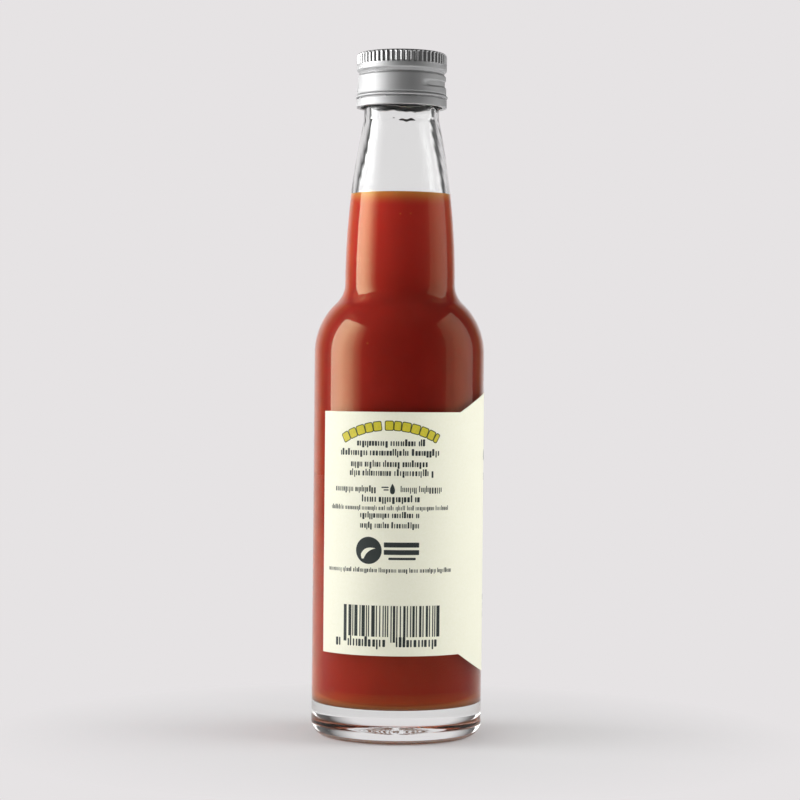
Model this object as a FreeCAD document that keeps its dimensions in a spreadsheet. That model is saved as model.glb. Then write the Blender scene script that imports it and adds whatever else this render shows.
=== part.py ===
"""Hot sauce bottle: clear glass, roll-on aluminium screw cap, sauce and a wrap-round paper label.

Units are millimetres. +Z is up and the origin is the middle of the foot, on the table. -Y looks at the wing
of the label with the small print, and +X is close to the middle of the label's tall front panel.
"""

import FreeCAD
import Part

import math
import os

import Sketcher
from FreeCAD import Placement, Rotation, Vector

# The driving dimensions. Heights add up from the table to the lip, and radii from the glass out to the cap.
DIMENSIONS = [
    # glass, outside
    ("body_diameter", 41.1, "straight part of the body"),
    ("body_height", 92.4, "table to the start of the shoulder"),
    ("heel_radius", 3.6, "rounding from the wall to the foot"),
    ("shoulder_radius", 16.5, "round shoulder"),
    ("root_radius", 6.5, "hollow where the shoulder meets the neck"),
    ("neck_diameter", 26.6, "widest part of the neck, at its root"),
    ("neck_sweep_radius", 188.0, "long curve that draws the neck in"),
    ("collar_diameter", 18.1, "straight collar under the cap"),
    ("collar_blend_radius", 7.0, "hollow between neck and collar"),
    ("collar_height", 3.45, "straight collar up to the locking ring"),
    ("bearing_width", 1.5, "flat ring that the bottle stands on"),
    ("pushup_depth", 2.4, "dome under the foot"),
    # glass, inside
    ("body_wall", 2.4, "wall of body and shoulder"),
    ("neck_wall", 1.9, "wall of the neck at its root"),
    ("finish_wall", 1.95, "wall of the collar, which sets the bore"),
    ("floor_height", 8.2, "table to the inside floor"),
    ("floor_corner_radius", 3.2, "rounding of the inside floor"),
    ("headspace", 32.85, "lip down to the sauce"),
    # glass, finish that the cap closes on
    ("ring_standout", 1.25, "locking ring beyond the collar"),
    ("ring_height", 1.6, "locking ring"),
    ("ring_rounding", 0.4, "edges of the locking ring"),
    ("land_standout", 0.55, "thread land beyond the collar"),
    ("land_height", 7.0, "locking ring to lip"),
    ("lip_step", 0.6, "lip inside the thread land"),
    ("lip_height", 1.9, "lip"),
    ("lip_rounding", 0.6, "outer edge of the lip"),
    # cap
    ("cap_wall", 0.25, "rolled aluminium"),
    ("cap_clearance", 0.12, "cap beside and under the locking ring"),
    ("seal_thickness", 0.95, "liner bonded under the top"),
    ("top_rounding", 0.9, "edge of the cap's top"),
    ("head_standout", 0.2, "knurled head beyond the skirt"),
    ("head_height", 4.35, "knurled head, top to groove"),
    ("flute_length", 2.6, "one flute, down from the top"),
    ("flute_depth", 0.3, "flute cut into the head"),
    ("flute_radius", 0.42, "round of one flute"),
    ("flute_count", 56, "flutes round the head"),
    ("groove_depth", 0.45, "rolled groove below the skirt's surface"),
    ("groove_height", 1.35, "rolled groove"),
    ("skirt_flare", 0.1, "widening of the skirt down to its bead"),
    ("bead_height", 1.1, "rolled bead above the slit"),
    ("bead_standout", 0.36, "rolled bead beyond the skirt"),
    ("slit_height", 0.22, "cut between skirt and band"),
    ("slit_rise", 0.5, "slit above the foot of the locking ring"),
    ("bridge_count", 8, "bridges that hold the band"),
    ("bridge_angle", 5.0, "width of one bridge, degrees"),
    ("band_standout", 0.15, "tamper band beyond the slit"),
    ("band_overlap", 1.45, "tamper band below the locking ring"),
    ("band_rounding", 0.4, "edges of the tamper band"),
    ("hem_width", 0.5, "band turned in under the locking ring"),
    ("hem_height", 0.5, "inner edge of the hem"),
    # label
    ("paper_thickness", 0.1, "label paper"),
    ("label_foot_margin", 21.2, "table to the label's side wings"),
    ("label_head_margin", 14.0, "side wings to the start of the shoulder"),
    ("label_gap_angle", 54.0, "bare glass between the label's ends, degrees"),
    ("panel_half_angle", 49.6, "half of the tall front panel, degrees"),
    ("panel_facing", 5.0, "middle of the front panel from +X, degrees"),
    ("panel_rise", 0.66, "slope of the panel's top edge"),
    ("panel_drop", 0.76, "slope of the panel's bottom edge"),
    # cutting tools
    ("cut_margin", 1.0, "how far a cut runs past what it cuts"),
]

# Cells that the sheet works out itself, in order: each uses only the ones above it.
DERIVED = [
    # glass, outside
    ("body_radius", "body_diameter / 2"),
    ("neck_radius", "neck_diameter / 2"),
    ("collar_radius", "collar_diameter / 2"),
    ("bearing_outer", "body_radius - heel_radius"),
    ("bearing_inner", "bearing_outer - bearing_width"),
    ("pushup_radius", "(pow(bearing_inner; 2) + pow(pushup_depth; 2)) / (2 * pushup_depth)"),
    # Two arcs that meet smoothly have their centres one plus the other radius apart. Their outer ends stand
    # upright, so the steps across and up between the centres are two sides of a right triangle.
    ("shoulder_span", "shoulder_radius + root_radius"),
    ("shoulder_step", "shoulder_span - body_radius + neck_radius"),
    ("neck_start", "body_height + sqrt(pow(shoulder_span; 2) - pow(shoulder_step; 2))"),
    ("sweep_span", "neck_sweep_radius + collar_blend_radius"),
    ("sweep_step", "sweep_span - neck_radius + collar_radius"),
    ("collar_start", "neck_start + sqrt(pow(sweep_span; 2) - pow(sweep_step; 2))"),
    # glass, finish
    ("ring_foot", "collar_start + collar_height"),
    ("ring_top", "ring_foot + ring_height"),
    ("land_top", "ring_top + land_height"),
    ("lip_top", "land_top + lip_height"),
    ("ring_radius", "collar_radius + ring_standout"),
    ("ring_flat", "ring_radius - ring_rounding"),
    ("ring_side_foot", "ring_foot + ring_rounding"),
    ("ring_side_top", "ring_top - ring_rounding"),
    ("land_radius", "collar_radius + land_standout"),
    ("lip_radius", "land_radius - lip_step"),
    ("lip_flat", "lip_radius - lip_rounding"),
    ("lip_side_top", "lip_top - lip_rounding"),
    # glass, inside: it follows the outside at the depth of the wall
    ("inner_radius", "body_radius - body_wall"),
    ("inner_neck_radius", "neck_radius - neck_wall"),
    ("bore_radius", "collar_radius - finish_wall"),
    ("floor_flat", "inner_radius - floor_corner_radius"),
    ("floor_side", "floor_height + floor_corner_radius"),
    ("inner_shoulder_radius", "shoulder_radius - body_wall"),
    ("inner_root_radius", "root_radius + neck_wall"),
    ("inner_span", "inner_shoulder_radius + inner_root_radius"),
    ("inner_step", "inner_span - inner_radius + inner_neck_radius"),
    ("inner_neck_start", "body_height + sqrt(pow(inner_span; 2) - pow(inner_step; 2))"),
    ("bore_step", "sweep_span - inner_neck_radius + bore_radius"),
    ("bore_start", "inner_neck_start + sqrt(pow(sweep_span; 2) - pow(bore_step; 2))"),
    ("sauce_level", "lip_top - headspace"),
    ("headspace_top", "lip_top + cut_margin"),
    # cap: it sits on the lip and clears the locking ring
    ("cap_top", "lip_top + seal_thickness + cap_wall"),
    ("skirt_bore", "ring_radius + cap_clearance"),
    ("skirt_radius", "skirt_bore + cap_wall"),
    ("head_radius", "skirt_radius + head_standout"),
    ("top_flat", "head_radius - top_rounding"),
    ("head_side_top", "cap_top - top_rounding"),
    ("flute_centre", "head_radius - flute_depth + flute_radius"),
    ("groove_top", "cap_top - head_height"),
    ("groove_foot", "groove_top - groove_height"),
    ("groove_middle", "(groove_top + groove_foot) / 2"),
    # The groove is an arc whose depth is taken from the line between its two edges.
    ("groove_sag", "groove_depth + head_standout / 2"),
    ("groove_reach", "(pow(groove_height; 2) + pow(head_standout; 2)) / 4"),
    ("groove_round", "groove_reach / (2 * groove_sag) + groove_sag / 2"),
    ("groove_inner_round", "groove_round + cap_wall"),
    ("groove_inner_half", "sqrt(pow(groove_inner_round; 2) - pow(groove_inner_round - groove_depth; 2))"),
    ("groove_inner_top", "groove_middle + groove_inner_half"),
    ("groove_inner_foot", "groove_middle - groove_inner_half"),
    ("slit_foot", "ring_foot + slit_rise"),
    ("slit_top", "slit_foot + slit_height"),
    ("bead_top", "slit_top + bead_height"),
    ("flare_radius", "skirt_radius + skirt_flare"),
    ("bead_round", "pow(bead_height / 2; 2) / (2 * bead_standout) + bead_standout / 2"),
    ("slit_angle", "360 / bridge_count - bridge_angle"),
    ("slit_inner", "skirt_bore - cut_margin"),
    ("slit_outer", "flare_radius + cut_margin"),
    ("band_radius", "flare_radius + band_standout"),
    ("band_shoulder", "slit_foot - band_standout"),
    ("band_foot", "ring_foot - band_overlap"),
    ("band_flat", "band_radius - band_rounding"),
    ("band_side_foot", "band_foot + band_rounding"),
    ("hem_bore", "skirt_bore - hem_width"),
    ("hem_top", "band_foot + hem_height"),
    ("hem_root", "ring_foot - cap_clearance"),
    # label: it lies on the body and keeps to its straight part
    ("label_radius", "body_radius + paper_thickness"),
    ("label_angle", "360 - label_gap_angle"),
    ("wing_top", "body_height - label_head_margin"),
    ("panel_corner", "body_radius * cos(panel_half_angle * 1 deg)"),
    ("label_reach", "label_radius + cut_margin"),
    ("strip_top", "wing_top + panel_rise * (label_reach - panel_corner)"),
    ("strip_foot", "label_foot_margin - panel_drop * (label_reach - panel_corner)"),
    ("trim_top", "strip_top + cut_margin"),
    ("trim_foot", "strip_foot - cut_margin"),
]

ZERO = "zero"
LEFTWARD, RIGHTWARD = 1, -1

doc = FreeCAD.newDocument("hot_sauce_bottle")
sheet = doc.addObject("Spreadsheet::Sheet", "Dimensions")
doc.recompute()


def fill_sheet():
    """Writes the driving dimensions as plain numbers and the derived ones as formulas, with their aliases."""
    for row, (alias, value, meaning) in enumerate(DIMENSIONS, start=1):
        sheet.set(f"A{row}", alias)
        sheet.set(f"B{row}", str(value))
        sheet.set(f"C{row}", meaning)
        sheet.setAlias(f"B{row}", alias)
    for row, (alias, formula) in enumerate(DERIVED, start=len(DIMENSIONS) + 2):
        sheet.set(f"A{row}", alias)
        sheet.set(f"B{row}", "=" + formula)
        sheet.setAlias(f"B{row}", alias)
    doc.recompute()


def size(alias):
    """The number in one cell of the sheet. A minus sign before the name turns it round."""
    if alias == ZERO:
        return 0.0
    if alias.startswith("-"):
        return -size(alias[1:])
    return float(sheet.get(alias))


def bind(feature, prop, alias):
    """Ties a property of a feature to one cell."""
    feature.setExpression(prop, f"Dimensions.{alias}")


def origin_plane(body, role):
    """One of a body's own origin planes, such as XZ_Plane."""
    return next(feature for feature in body.Origin.OriginFeatures if feature.Role == role)


def new_body(name):
    body = doc.addObject("PartDesign::Body", name)
    body.Label = name
    return body


def new_sketch(body, name, role="XZ_Plane"):
    sketch = body.newObject("Sketcher::SketchObject", name)
    sketch.AttachmentSupport = (origin_plane(body, role), "")
    sketch.MapMode = "FlatFace"
    return sketch


class Drawing:
    """Geometry in a sketch whose sizes and places are tied to cells, so the sheet alone decides the shape."""

    START, END, CENTRE = 1, 2, 3
    ORIGIN = (-1, 1)
    ACROSS_AXIS, UP_AXIS = -1, -2

    def __init__(self, sketch):
        self.sketch = sketch

    def tie(self, alias, *constraint):
        number = self.sketch.addConstraint(Sketcher.Constraint(*constraint, size(alias)))
        bind(self.sketch, f"Constraints[{number}]", alias)

    def place(self, end, across=None, up=None):
        """Ties the place of a point. Zero puts it on the axis or on the table, minus on the far side."""
        for alias, kind, axis in ((across, "DistanceX", self.UP_AXIS), (up, "DistanceY", self.ACROSS_AXIS)):
            if alias is None:
                continue
            if alias == ZERO:
                self.sketch.addConstraint(Sketcher.Constraint("PointOnObject", *end, axis))
            elif alias.startswith("-"):
                self.tie(alias[1:], kind, *end, *self.ORIGIN)
            else:
                self.tie(alias, kind, *self.ORIGIN, *end)

    def add_circle(self, across, up, radius):
        circle = Part.Circle(Vector(size(across), size(up), 0), Vector(0, 0, 1), size(radius))
        piece = self.sketch.addGeometry(circle, False)
        self.place((piece, self.CENTRE), across, up)
        self.tie(radius, "Radius", piece)
        self.check()

    def check(self):
        doc.recompute()
        if not self.sketch.FullyConstrained:
            raise RuntimeError(f"{self.sketch.Label} isn't fully constrained")


class Profile(Drawing):
    """A closed outline, drawn piece by piece from its first corner.

    A corner is given by the names of two cells, the distance from the axis and the height.
    """

    def __init__(self, sketch, across, up):
        super().__init__(sketch)
        self.first = (across, up)
        self.corner = (across, up)
        self.first_end = None
        self.last_end = None

    def add(self, curve, starts_at=Drawing.START, joint="Coincident"):
        """Adds a piece and joins it to the one before. Returns the piece and its far end."""
        piece = self.sketch.addGeometry(curve, False)
        ends_at = self.END if starts_at == self.START else self.START
        start, end = (piece, starts_at), (piece, ends_at)
        if self.last_end is None:
            self.first_end = start
            self.place(start, *self.first)
        else:
            self.sketch.addConstraint(Sketcher.Constraint(joint, *self.last_end, *start))
        self.last_end = end
        return piece, end

    def line_to(self, across, up):
        ends = [Vector(size(a), size(b), 0) for a, b in (self.corner, (across, up))]
        _, end = self.add(Part.LineSegment(*ends))
        self.place(end, across, up)
        self.corner = (across, up)

    def arc_to(self, across, up, radius, turn):
        """An arc between two corners. It turns to the left or to the right on its way."""
        start = Vector(size(self.corner[0]), size(self.corner[1]), 0)
        end = Vector(size(across), size(up), 0)
        chord = end - start
        offset = math.sqrt(max(size(radius) ** 2 - (chord.Length / 2) ** 2, 0.0))
        centre = (start + end) / 2 + Vector(-chord.y, chord.x, 0).normalize() * (turn * offset)
        piece, end_point = self.add_arc(centre, start, end, turn)
        self.tie(radius, "Radius", piece)
        self.place(end_point, across, up)
        self.corner = (across, up)

    def add_arc(self, centre, start, end, turn, joint="Coincident"):
        """An arc's own ends run anticlockwise, so a turn to the right starts at its end."""
        low, high = (start, end) if turn == LEFTWARD else (end, start)
        angles = [math.atan2(point.y - centre.y, point.x - centre.x) for point in (low, high)]
        circle = Part.Circle(centre, Vector(0, 0, 1), (start - centre).Length)
        curve = Part.ArcOfCircle(circle, *angles)
        return self.add(curve, self.START if turn == LEFTWARD else self.END, joint)

    def ogee_to(self, across, up, bulge, hollow):
        """Draws the wall in: a bulge that starts upright runs smoothly into a hollow that ends upright."""
        start = Vector(size(self.corner[0]), size(self.corner[1]), 0)
        end = Vector(size(across), size(up), 0)
        bulge_centre = start - Vector(size(bulge), 0, 0)
        hollow_centre = end + Vector(size(hollow), 0, 0)
        share = size(bulge) / (size(bulge) + size(hollow))
        meeting = bulge_centre + (hollow_centre - bulge_centre) * share
        first, _ = self.add_arc(bulge_centre, start, meeting, LEFTWARD)
        self.tie(bulge, "Radius", first)
        self.sketch.addConstraint(Sketcher.Constraint("Horizontal", first, self.START, first, self.CENTRE))
        second, end_point = self.add_arc(hollow_centre, meeting, end, RIGHTWARD, "Tangent")
        self.tie(hollow, "Radius", second)
        self.sketch.addConstraint(Sketcher.Constraint("Horizontal", second, self.START, second, self.CENTRE))
        self.place(end_point, across)
        self.corner = (across, up)

    def close(self):
        """Draws the last straight piece back to the first corner."""
        ends = [Vector(size(a), size(b), 0) for a, b in (self.corner, self.first)]
        _, end = self.add(Part.LineSegment(*ends))
        self.sketch.addConstraint(Sketcher.Constraint("Coincident", *end, *self.first_end))
        self.check()


def turn_profile(body, kind, sketch, name):
    """Turns a sketch round the upright axis, as added material (Revolution) or as a cut (Groove)."""
    feature = body.newObject(f"PartDesign::{kind}", name)
    feature.Profile = sketch
    feature.ReferenceAxis = (sketch, ["V_Axis"])
    feature.Angle = 360.0
    doc.recompute()
    return feature


def repeat_round(body, feature, axis, count, name):
    """Repeats a feature round the upright axis, evenly over the full turn."""
    pattern = body.newObject("PartDesign::PolarPattern", name)
    pattern.Originals = [feature]
    pattern.Axis = axis
    pattern.Angle = 360.0
    bind(pattern, "Occurrences", count)
    body.Tip = pattern
    doc.recompute()
    return pattern


def draw_inside(sketch):
    """The inside of the glass, from its floor up to the lip."""
    inside = Profile(sketch, ZERO, "floor_height")
    inside.line_to("floor_flat", "floor_height")
    inside.arc_to("inner_radius", "floor_side", "floor_corner_radius", LEFTWARD)
    inside.line_to("inner_radius", "body_height")
    inside.ogee_to("inner_neck_radius", "inner_neck_start", "inner_shoulder_radius", "inner_root_radius")
    inside.ogee_to("bore_radius", "bore_start", "neck_sweep_radius", "collar_blend_radius")
    inside.line_to("bore_radius", "lip_top")
    inside.line_to(ZERO, "lip_top")
    inside.close()


def draw_rectangle(sketch, inner, foot, outer, top):
    box = Profile(sketch, inner, foot)
    box.line_to(outer, foot)
    box.line_to(outer, top)
    box.line_to(inner, top)
    box.close()


def make_glass():
    """Body, shoulder, neck and finish are turned from one profile, and the inside is cut out of it."""
    body = new_body("glass_bottle")
    sketch = new_sketch(body, "glass_outside")
    wall = Profile(sketch, ZERO, "pushup_depth")
    wall.arc_to("bearing_inner", ZERO, "pushup_radius", RIGHTWARD)
    wall.line_to("bearing_outer", ZERO)
    wall.arc_to("body_radius", "heel_radius", "heel_radius", LEFTWARD)
    wall.line_to("body_radius", "body_height")
    wall.ogee_to("neck_radius", "neck_start", "shoulder_radius", "root_radius")
    wall.ogee_to("collar_radius", "collar_start", "neck_sweep_radius", "collar_blend_radius")
    wall.line_to("collar_radius", "ring_foot")
    wall.line_to("ring_flat", "ring_foot")
    wall.arc_to("ring_radius", "ring_side_foot", "ring_rounding", LEFTWARD)
    wall.line_to("ring_radius", "ring_side_top")
    wall.arc_to("ring_flat", "ring_top", "ring_rounding", LEFTWARD)
    wall.line_to("land_radius", "ring_top")
    wall.line_to("land_radius", "land_top")
    wall.line_to("lip_radius", "land_top")
    wall.line_to("lip_radius", "lip_side_top")
    wall.arc_to("lip_flat", "lip_top", "lip_rounding", LEFTWARD)
    wall.line_to(ZERO, "lip_top")
    wall.close()
    turn_profile(body, "Revolution", sketch, "glass_wall")

    inside = new_sketch(body, "glass_inside")
    draw_inside(inside)
    turn_profile(body, "Groove", inside, "glass_cavity")
    return body


def make_sauce():
    """The sauce has the shape of the inside, with the headspace cut away above its level."""
    body = new_body("sauce")
    inside = new_sketch(body, "sauce_inside")
    draw_inside(inside)
    turn_profile(body, "Revolution", inside, "sauce_filling")

    headspace = new_sketch(body, "sauce_headspace")
    draw_rectangle(headspace, ZERO, "sauce_level", "body_radius", "headspace_top")
    turn_profile(body, "Groove", headspace, "sauce_surface")
    return body


def make_cap():
    """A rolled aluminium shell with its liner: knurled head, groove, bead, slit with bridges, tamper band."""
    body = new_body("screw_cap")
    sketch = new_sketch(body, "cap_section")
    shell = Profile(sketch, ZERO, "cap_top")
    shell.line_to("top_flat", "cap_top")
    shell.arc_to("head_radius", "head_side_top", "top_rounding", RIGHTWARD)
    shell.line_to("head_radius", "groove_top")
    shell.arc_to("skirt_radius", "groove_foot", "groove_round", LEFTWARD)
    shell.line_to("flare_radius", "bead_top")
    shell.arc_to("flare_radius", "slit_top", "bead_round", RIGHTWARD)
    shell.line_to("flare_radius", "slit_foot")
    shell.line_to("band_radius", "band_shoulder")
    shell.line_to("band_radius", "band_side_foot")
    shell.arc_to("band_flat", "band_foot", "band_rounding", RIGHTWARD)
    shell.line_to("hem_bore", "band_foot")
    shell.line_to("hem_bore", "hem_top")
    shell.line_to("skirt_bore", "hem_root")
    shell.line_to("skirt_bore", "groove_inner_foot")
    shell.arc_to("skirt_bore", "groove_inner_top", "groove_inner_round", RIGHTWARD)
    shell.line_to("skirt_bore", "lip_top")
    shell.line_to(ZERO, "lip_top")
    shell.close()
    turn_profile(body, "Revolution", sketch, "cap_shell")

    slit_sketch = new_sketch(body, "slit_section")
    draw_rectangle(slit_sketch, "slit_inner", "slit_foot", "slit_outer", "slit_top")
    slit = turn_profile(body, "Groove", slit_sketch, "slit")
    bind(slit, "Angle", "slit_angle")
    repeat_round(body, slit, (slit_sketch, ["V_Axis"]), "bridge_count", "slits")

    flute_sketch = new_sketch(body, "flute_section", "XY_Plane")
    bind(flute_sketch, "AttachmentOffset.Base.z", "cap_top")
    Drawing(flute_sketch).add_circle("flute_centre", ZERO, "flute_radius")
    flute = body.newObject("PartDesign::Pocket", "flute")
    flute.Profile = flute_sketch
    flute.Type = "Length"
    bind(flute, "Length", "flute_length")
    doc.recompute()
    repeat_round(body, flute, (flute_sketch, ["N_Axis"]), "flute_count", "flutes")
    return body


def make_label():
    """A strip of paper round the body: two low wings and, between them, a front panel with peaked edges.

    It is made facing +X, as a tube cut through from the side along its two edges, and then turned in place.
    """
    body = new_body("paper_label")
    blank = new_sketch(body, "label_section")
    draw_rectangle(blank, "body_radius", "strip_foot", "label_radius", "strip_top")
    strip = turn_profile(body, "Revolution", blank, "label_strip")
    strip.Midplane = True
    bind(strip, "Angle", "label_angle")
    doc.recompute()
    trim_label(body, "label_head", "wing_top", "strip_top", "trim_top")
    trim_label(body, "label_foot", "label_foot_margin", "strip_foot", "trim_foot")
    body.Placement = Placement(Vector(0, 0, 0), Rotation(Vector(0, 0, 1), size("panel_facing")))
    bind(body, "Placement.Rotation.Angle", "panel_facing")
    doc.recompute()
    return body


def trim_label(body, name, wing, peak, beyond):
    """Cuts the strip along one edge: level over the wings, sloping away from the panel's two corners."""
    sketch = new_sketch(body, name + "_edge")
    edge = Profile(sketch, "-label_reach", wing)
    edge.line_to("panel_corner", wing)
    edge.line_to("label_reach", peak)
    edge.line_to("label_reach", beyond)
    edge.line_to("-label_reach", beyond)
    edge.close()
    cut = body.newObject("PartDesign::Pocket", name + "_trim")
    cut.Profile = sketch
    cut.Type = "ThroughAll"
    cut.SideType = "Symmetric"
    doc.recompute()


def check_document():
    """Stops before anything is written if an object failed or a shape isn't one valid solid."""
    for item in doc.Objects:
        if {"Invalid", "Error"} & set(item.State):
            raise RuntimeError(f"{item.Name} failed: {item.State}")
    for body in bodies:
        if body.Shape.isNull() or not body.Shape.isValid() or len(body.Shape.Solids) != 1:
            raise RuntimeError(f"{body.Label} isn't one valid solid")


fill_sheet()
bodies = [make_glass(), make_sauce(), make_cap(), make_label()]
check_document()
os.makedirs("parts", exist_ok=True)
for body in bodies:
    body.Shape.exportStep(f"parts/{body.Label}.step")
    box = body.Shape.BoundBox
    print(
        f"{body.Label}: {body.Shape.Volume / 1000:.2f} ml, {len(body.Shape.Faces)} faces,"
        f" {box.XLength:.2f} x {box.YLength:.2f} mm, z {box.ZMin:.2f} to {box.ZMax:.2f}"
    )
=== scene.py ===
# %% [markdown]
# # A small bottle of hot sauce
#
# The real thing is four pieces: a blown glass bottle with a long neck, the sauce that fills it, an aluminium
# cap that was rolled on over the thread, and one paper label that goes nearly all the way round. The packed
# CAD model holds their sizes. Everything here is built in the same frame: metres, +Z up, the middle of the
# foot at the origin, and the label's small print facing -Y.

import math
import random

import bmesh
import bpy
from mathutils import Euler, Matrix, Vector


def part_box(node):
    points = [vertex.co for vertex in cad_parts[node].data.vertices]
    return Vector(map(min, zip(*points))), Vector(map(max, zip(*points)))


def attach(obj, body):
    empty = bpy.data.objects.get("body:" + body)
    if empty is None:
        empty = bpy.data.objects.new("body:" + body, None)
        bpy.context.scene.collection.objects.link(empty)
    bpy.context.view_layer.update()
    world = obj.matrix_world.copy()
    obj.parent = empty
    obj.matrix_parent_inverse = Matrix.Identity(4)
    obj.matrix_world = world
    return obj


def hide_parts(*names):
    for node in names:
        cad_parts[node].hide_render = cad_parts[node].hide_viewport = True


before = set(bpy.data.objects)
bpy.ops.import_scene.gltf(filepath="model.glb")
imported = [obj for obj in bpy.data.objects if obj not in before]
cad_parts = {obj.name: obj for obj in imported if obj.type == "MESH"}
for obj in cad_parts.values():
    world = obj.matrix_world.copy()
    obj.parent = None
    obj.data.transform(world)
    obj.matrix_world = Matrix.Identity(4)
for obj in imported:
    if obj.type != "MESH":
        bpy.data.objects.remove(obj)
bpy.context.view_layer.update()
MM = 0.001
TURN = 2 * math.pi
bottle_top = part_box("glass_bottle")[1].z / MM
cap_low, cap_high = (corner.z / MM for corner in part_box("screw_cap"))
sauce_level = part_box("sauce")[1].z / MM
body_radius = min(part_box("glass_bottle")[1].x, -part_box("glass_bottle")[0].x) / MM
print(f"bottle {bottle_top:.1f} mm high, {2 * body_radius:.1f} mm across, filled to {sauce_level:.1f} mm")

# %% [markdown]
# ## Profiles
#
# Bottle, sauce and cap are all round, so a drawing of half a section is enough for each. A profile is a list
# of (distance from the axis, height) in millimetres, made of straight lines and arcs. A wall that draws in is
# a bulge that runs into a hollow, as on a workshop drawing, and the ogee works out where the two meet.

# %% Profile helpers
def arc(centre, radius, start, stop, steps=16):
    """Points on an arc. The angles are in degrees, from straight outwards and turning upwards."""
    angles = [math.radians(start + (stop - start) * i / steps) for i in range(steps + 1)]
    return [(centre[0] + radius * math.cos(a), centre[1] + radius * math.sin(a)) for a in angles]


def ogee(start, end_radius, bulge, hollow, steps=28):
    """Draws a wall in: a bulge that starts upright runs smoothly into a hollow that ends upright."""
    span = bulge + hollow
    across = end_radius + hollow - (start[0] - bulge)
    lean = math.degrees(math.acos(across / span))
    rise = math.sqrt(span * span - across * across)
    first = arc((start[0] - bulge, start[1]), bulge, 0, lean, steps)
    second = arc((end_radius + hollow, start[1] + rise), hollow, 180 + lean, 180, steps)
    return first + second[1:]


def spread(points, step):
    """Adds points along long straight runs, so that no gap is over one step."""
    out = [points[0]]
    for a, b in zip(points, points[1:]):
        count = max(1, math.ceil(math.dist(a, b) / step))
        for i in range(1, count + 1):
            out.append((a[0] + (b[0] - a[0]) * i / count, a[1] + (b[1] - a[1]) * i / count))
    return out


def smooth(low, high, value):
    """0 below low, 1 above high and a soft ramp between."""
    t = min(1.0, max(0.0, (value - low) / (high - low)))
    return t * t * (3 - 2 * t)


# %% [markdown]
# ## From a profile to a piece
#
# Each profile could be a Screw modifier on a curve. A modifier can't make a wall wavy or cut a thread that
# fades out, though, so one small function turns a profile into a mesh and lets a second function nudge every
# point as it goes. All pieces end the same way: smooth faces with sharp edges kept and a place in the frame,
# and a piece that replaces a CAD node hides that node. Each piece then gets a material slot.

# %% Turning a profile into a mesh
def finish_piece(name, mesh, replaced=None, sharp_from=30):
    """Links the mesh as a piece of the bottle and hides the CAD part that it replaces."""
    mesh.validate()
    mesh.polygons.foreach_set("use_smooth", [True] * len(mesh.polygons))
    mesh.set_sharp_from_angle(angle=math.radians(sharp_from))
    piece = bpy.data.objects.new(name, mesh)
    bpy.context.scene.collection.objects.link(piece)
    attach(piece, "root")
    if replaced:
        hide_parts(replaced)
    print(f"{name}: {len(mesh.polygons)} faces")
    return piece


def turned(name, profile, around, nudge=None):
    """Turns a profile round the axis. Points on the axis become poles. nudge moves (angle, r, z, index)."""
    verts, rings = [], []
    for index, (r, z) in enumerate(profile):
        count = 1 if r < 1e-6 else around
        rings.append([len(verts) + i for i in range(count)])
        for i in range(count):
            angle = TURN * i / around
            rr, zz = nudge(angle, r, z, index) if nudge and count > 1 else (r, z)
            verts.append((rr * math.sin(angle) * MM, -rr * math.cos(angle) * MM, zz * MM))
    faces = []
    for low, high in zip(rings, rings[1:]):
        for i in range(around):
            j = (i + 1) % around
            if len(low) == 1:
                faces.append((low[0], high[j], high[i]))
            elif len(high) == 1:
                faces.append((low[i], low[j], high[0]))
            else:
                faces.append((low[i], low[j], high[j], high[i]))
    mesh = bpy.data.meshes.new(name)
    mesh.from_pydata(verts, [], faces)
    return mesh


# %% [markdown]
# ## The glass
#
# A bottle like this is blown into a mould: outside it is true, inside it isn't. The wall's thickness drifts,
# and that is what makes the dark lines at the edges of the empty neck tremble. So the outside follows the
# drawing exactly and the inside gets long, shallow waves. The foot is a thick slug of glass, hollowed by a
# push-up and set on a ring with small stippled notches. All of it is one closed mesh, since glass only
# refracts properly when light meets an outside and an inside.

# %% Glass profile
SHOULDER_START = 92.4
NECK_RADIUS, COLLAR_RADIUS, COLLAR_HEIGHT = 13.3, 9.05, 3.45
BODY_WALL, NECK_WALL, FINISH_WALL = 2.4, 1.9, 1.95
HEEL, BEARING, PUSHUP = 3.6, 1.5, 2.4
FLOOR, FLOOR_CORNER = 8.2, 3.2
SHOULDER_ARC, ROOT_ARC, NECK_ARC, COLLAR_ARC = 16.5, 6.5, 188.0, 7.0
RING_ROUNDING, LAND_RADIUS, LIP_ROUNDING = 0.4, 9.6, 0.6

bearing_outer = body_radius - HEEL
bearing_inner = bearing_outer - BEARING
pushup_arc = (bearing_inner ** 2 + PUSHUP ** 2) / (2 * PUSHUP)
pushup_angle = math.degrees(math.asin((pushup_arc - PUSHUP) / pushup_arc))

foot = arc((0, PUSHUP - pushup_arc), pushup_arc, 90, pushup_angle, 24)
heel = arc((bearing_outer, HEEL), HEEL, -90, 0, 20)
shoulder = ogee((body_radius, SHOULDER_START), NECK_RADIUS, SHOULDER_ARC, ROOT_ARC)
neck = ogee(shoulder[-1], COLLAR_RADIUS, NECK_ARC, COLLAR_ARC)
ring_foot = neck[-1][1] + COLLAR_HEIGHT
outside = foot + heel + shoulder + neck[1:] + [(COLLAR_RADIUS, ring_foot)]
outside += arc((9.9, ring_foot + RING_ROUNDING), RING_ROUNDING, -90, 0, 6)
outside += arc((9.9, ring_foot + 1.2), RING_ROUNDING, 0, 90, 6)
outside += [(LAND_RADIUS, ring_foot + 1.6), (LAND_RADIUS, ring_foot + 8.6), (9.0, ring_foot + 8.6)]
outside += arc((8.4, bottle_top - LIP_ROUNDING), LIP_ROUNDING, 0, 90, 8)


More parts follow.
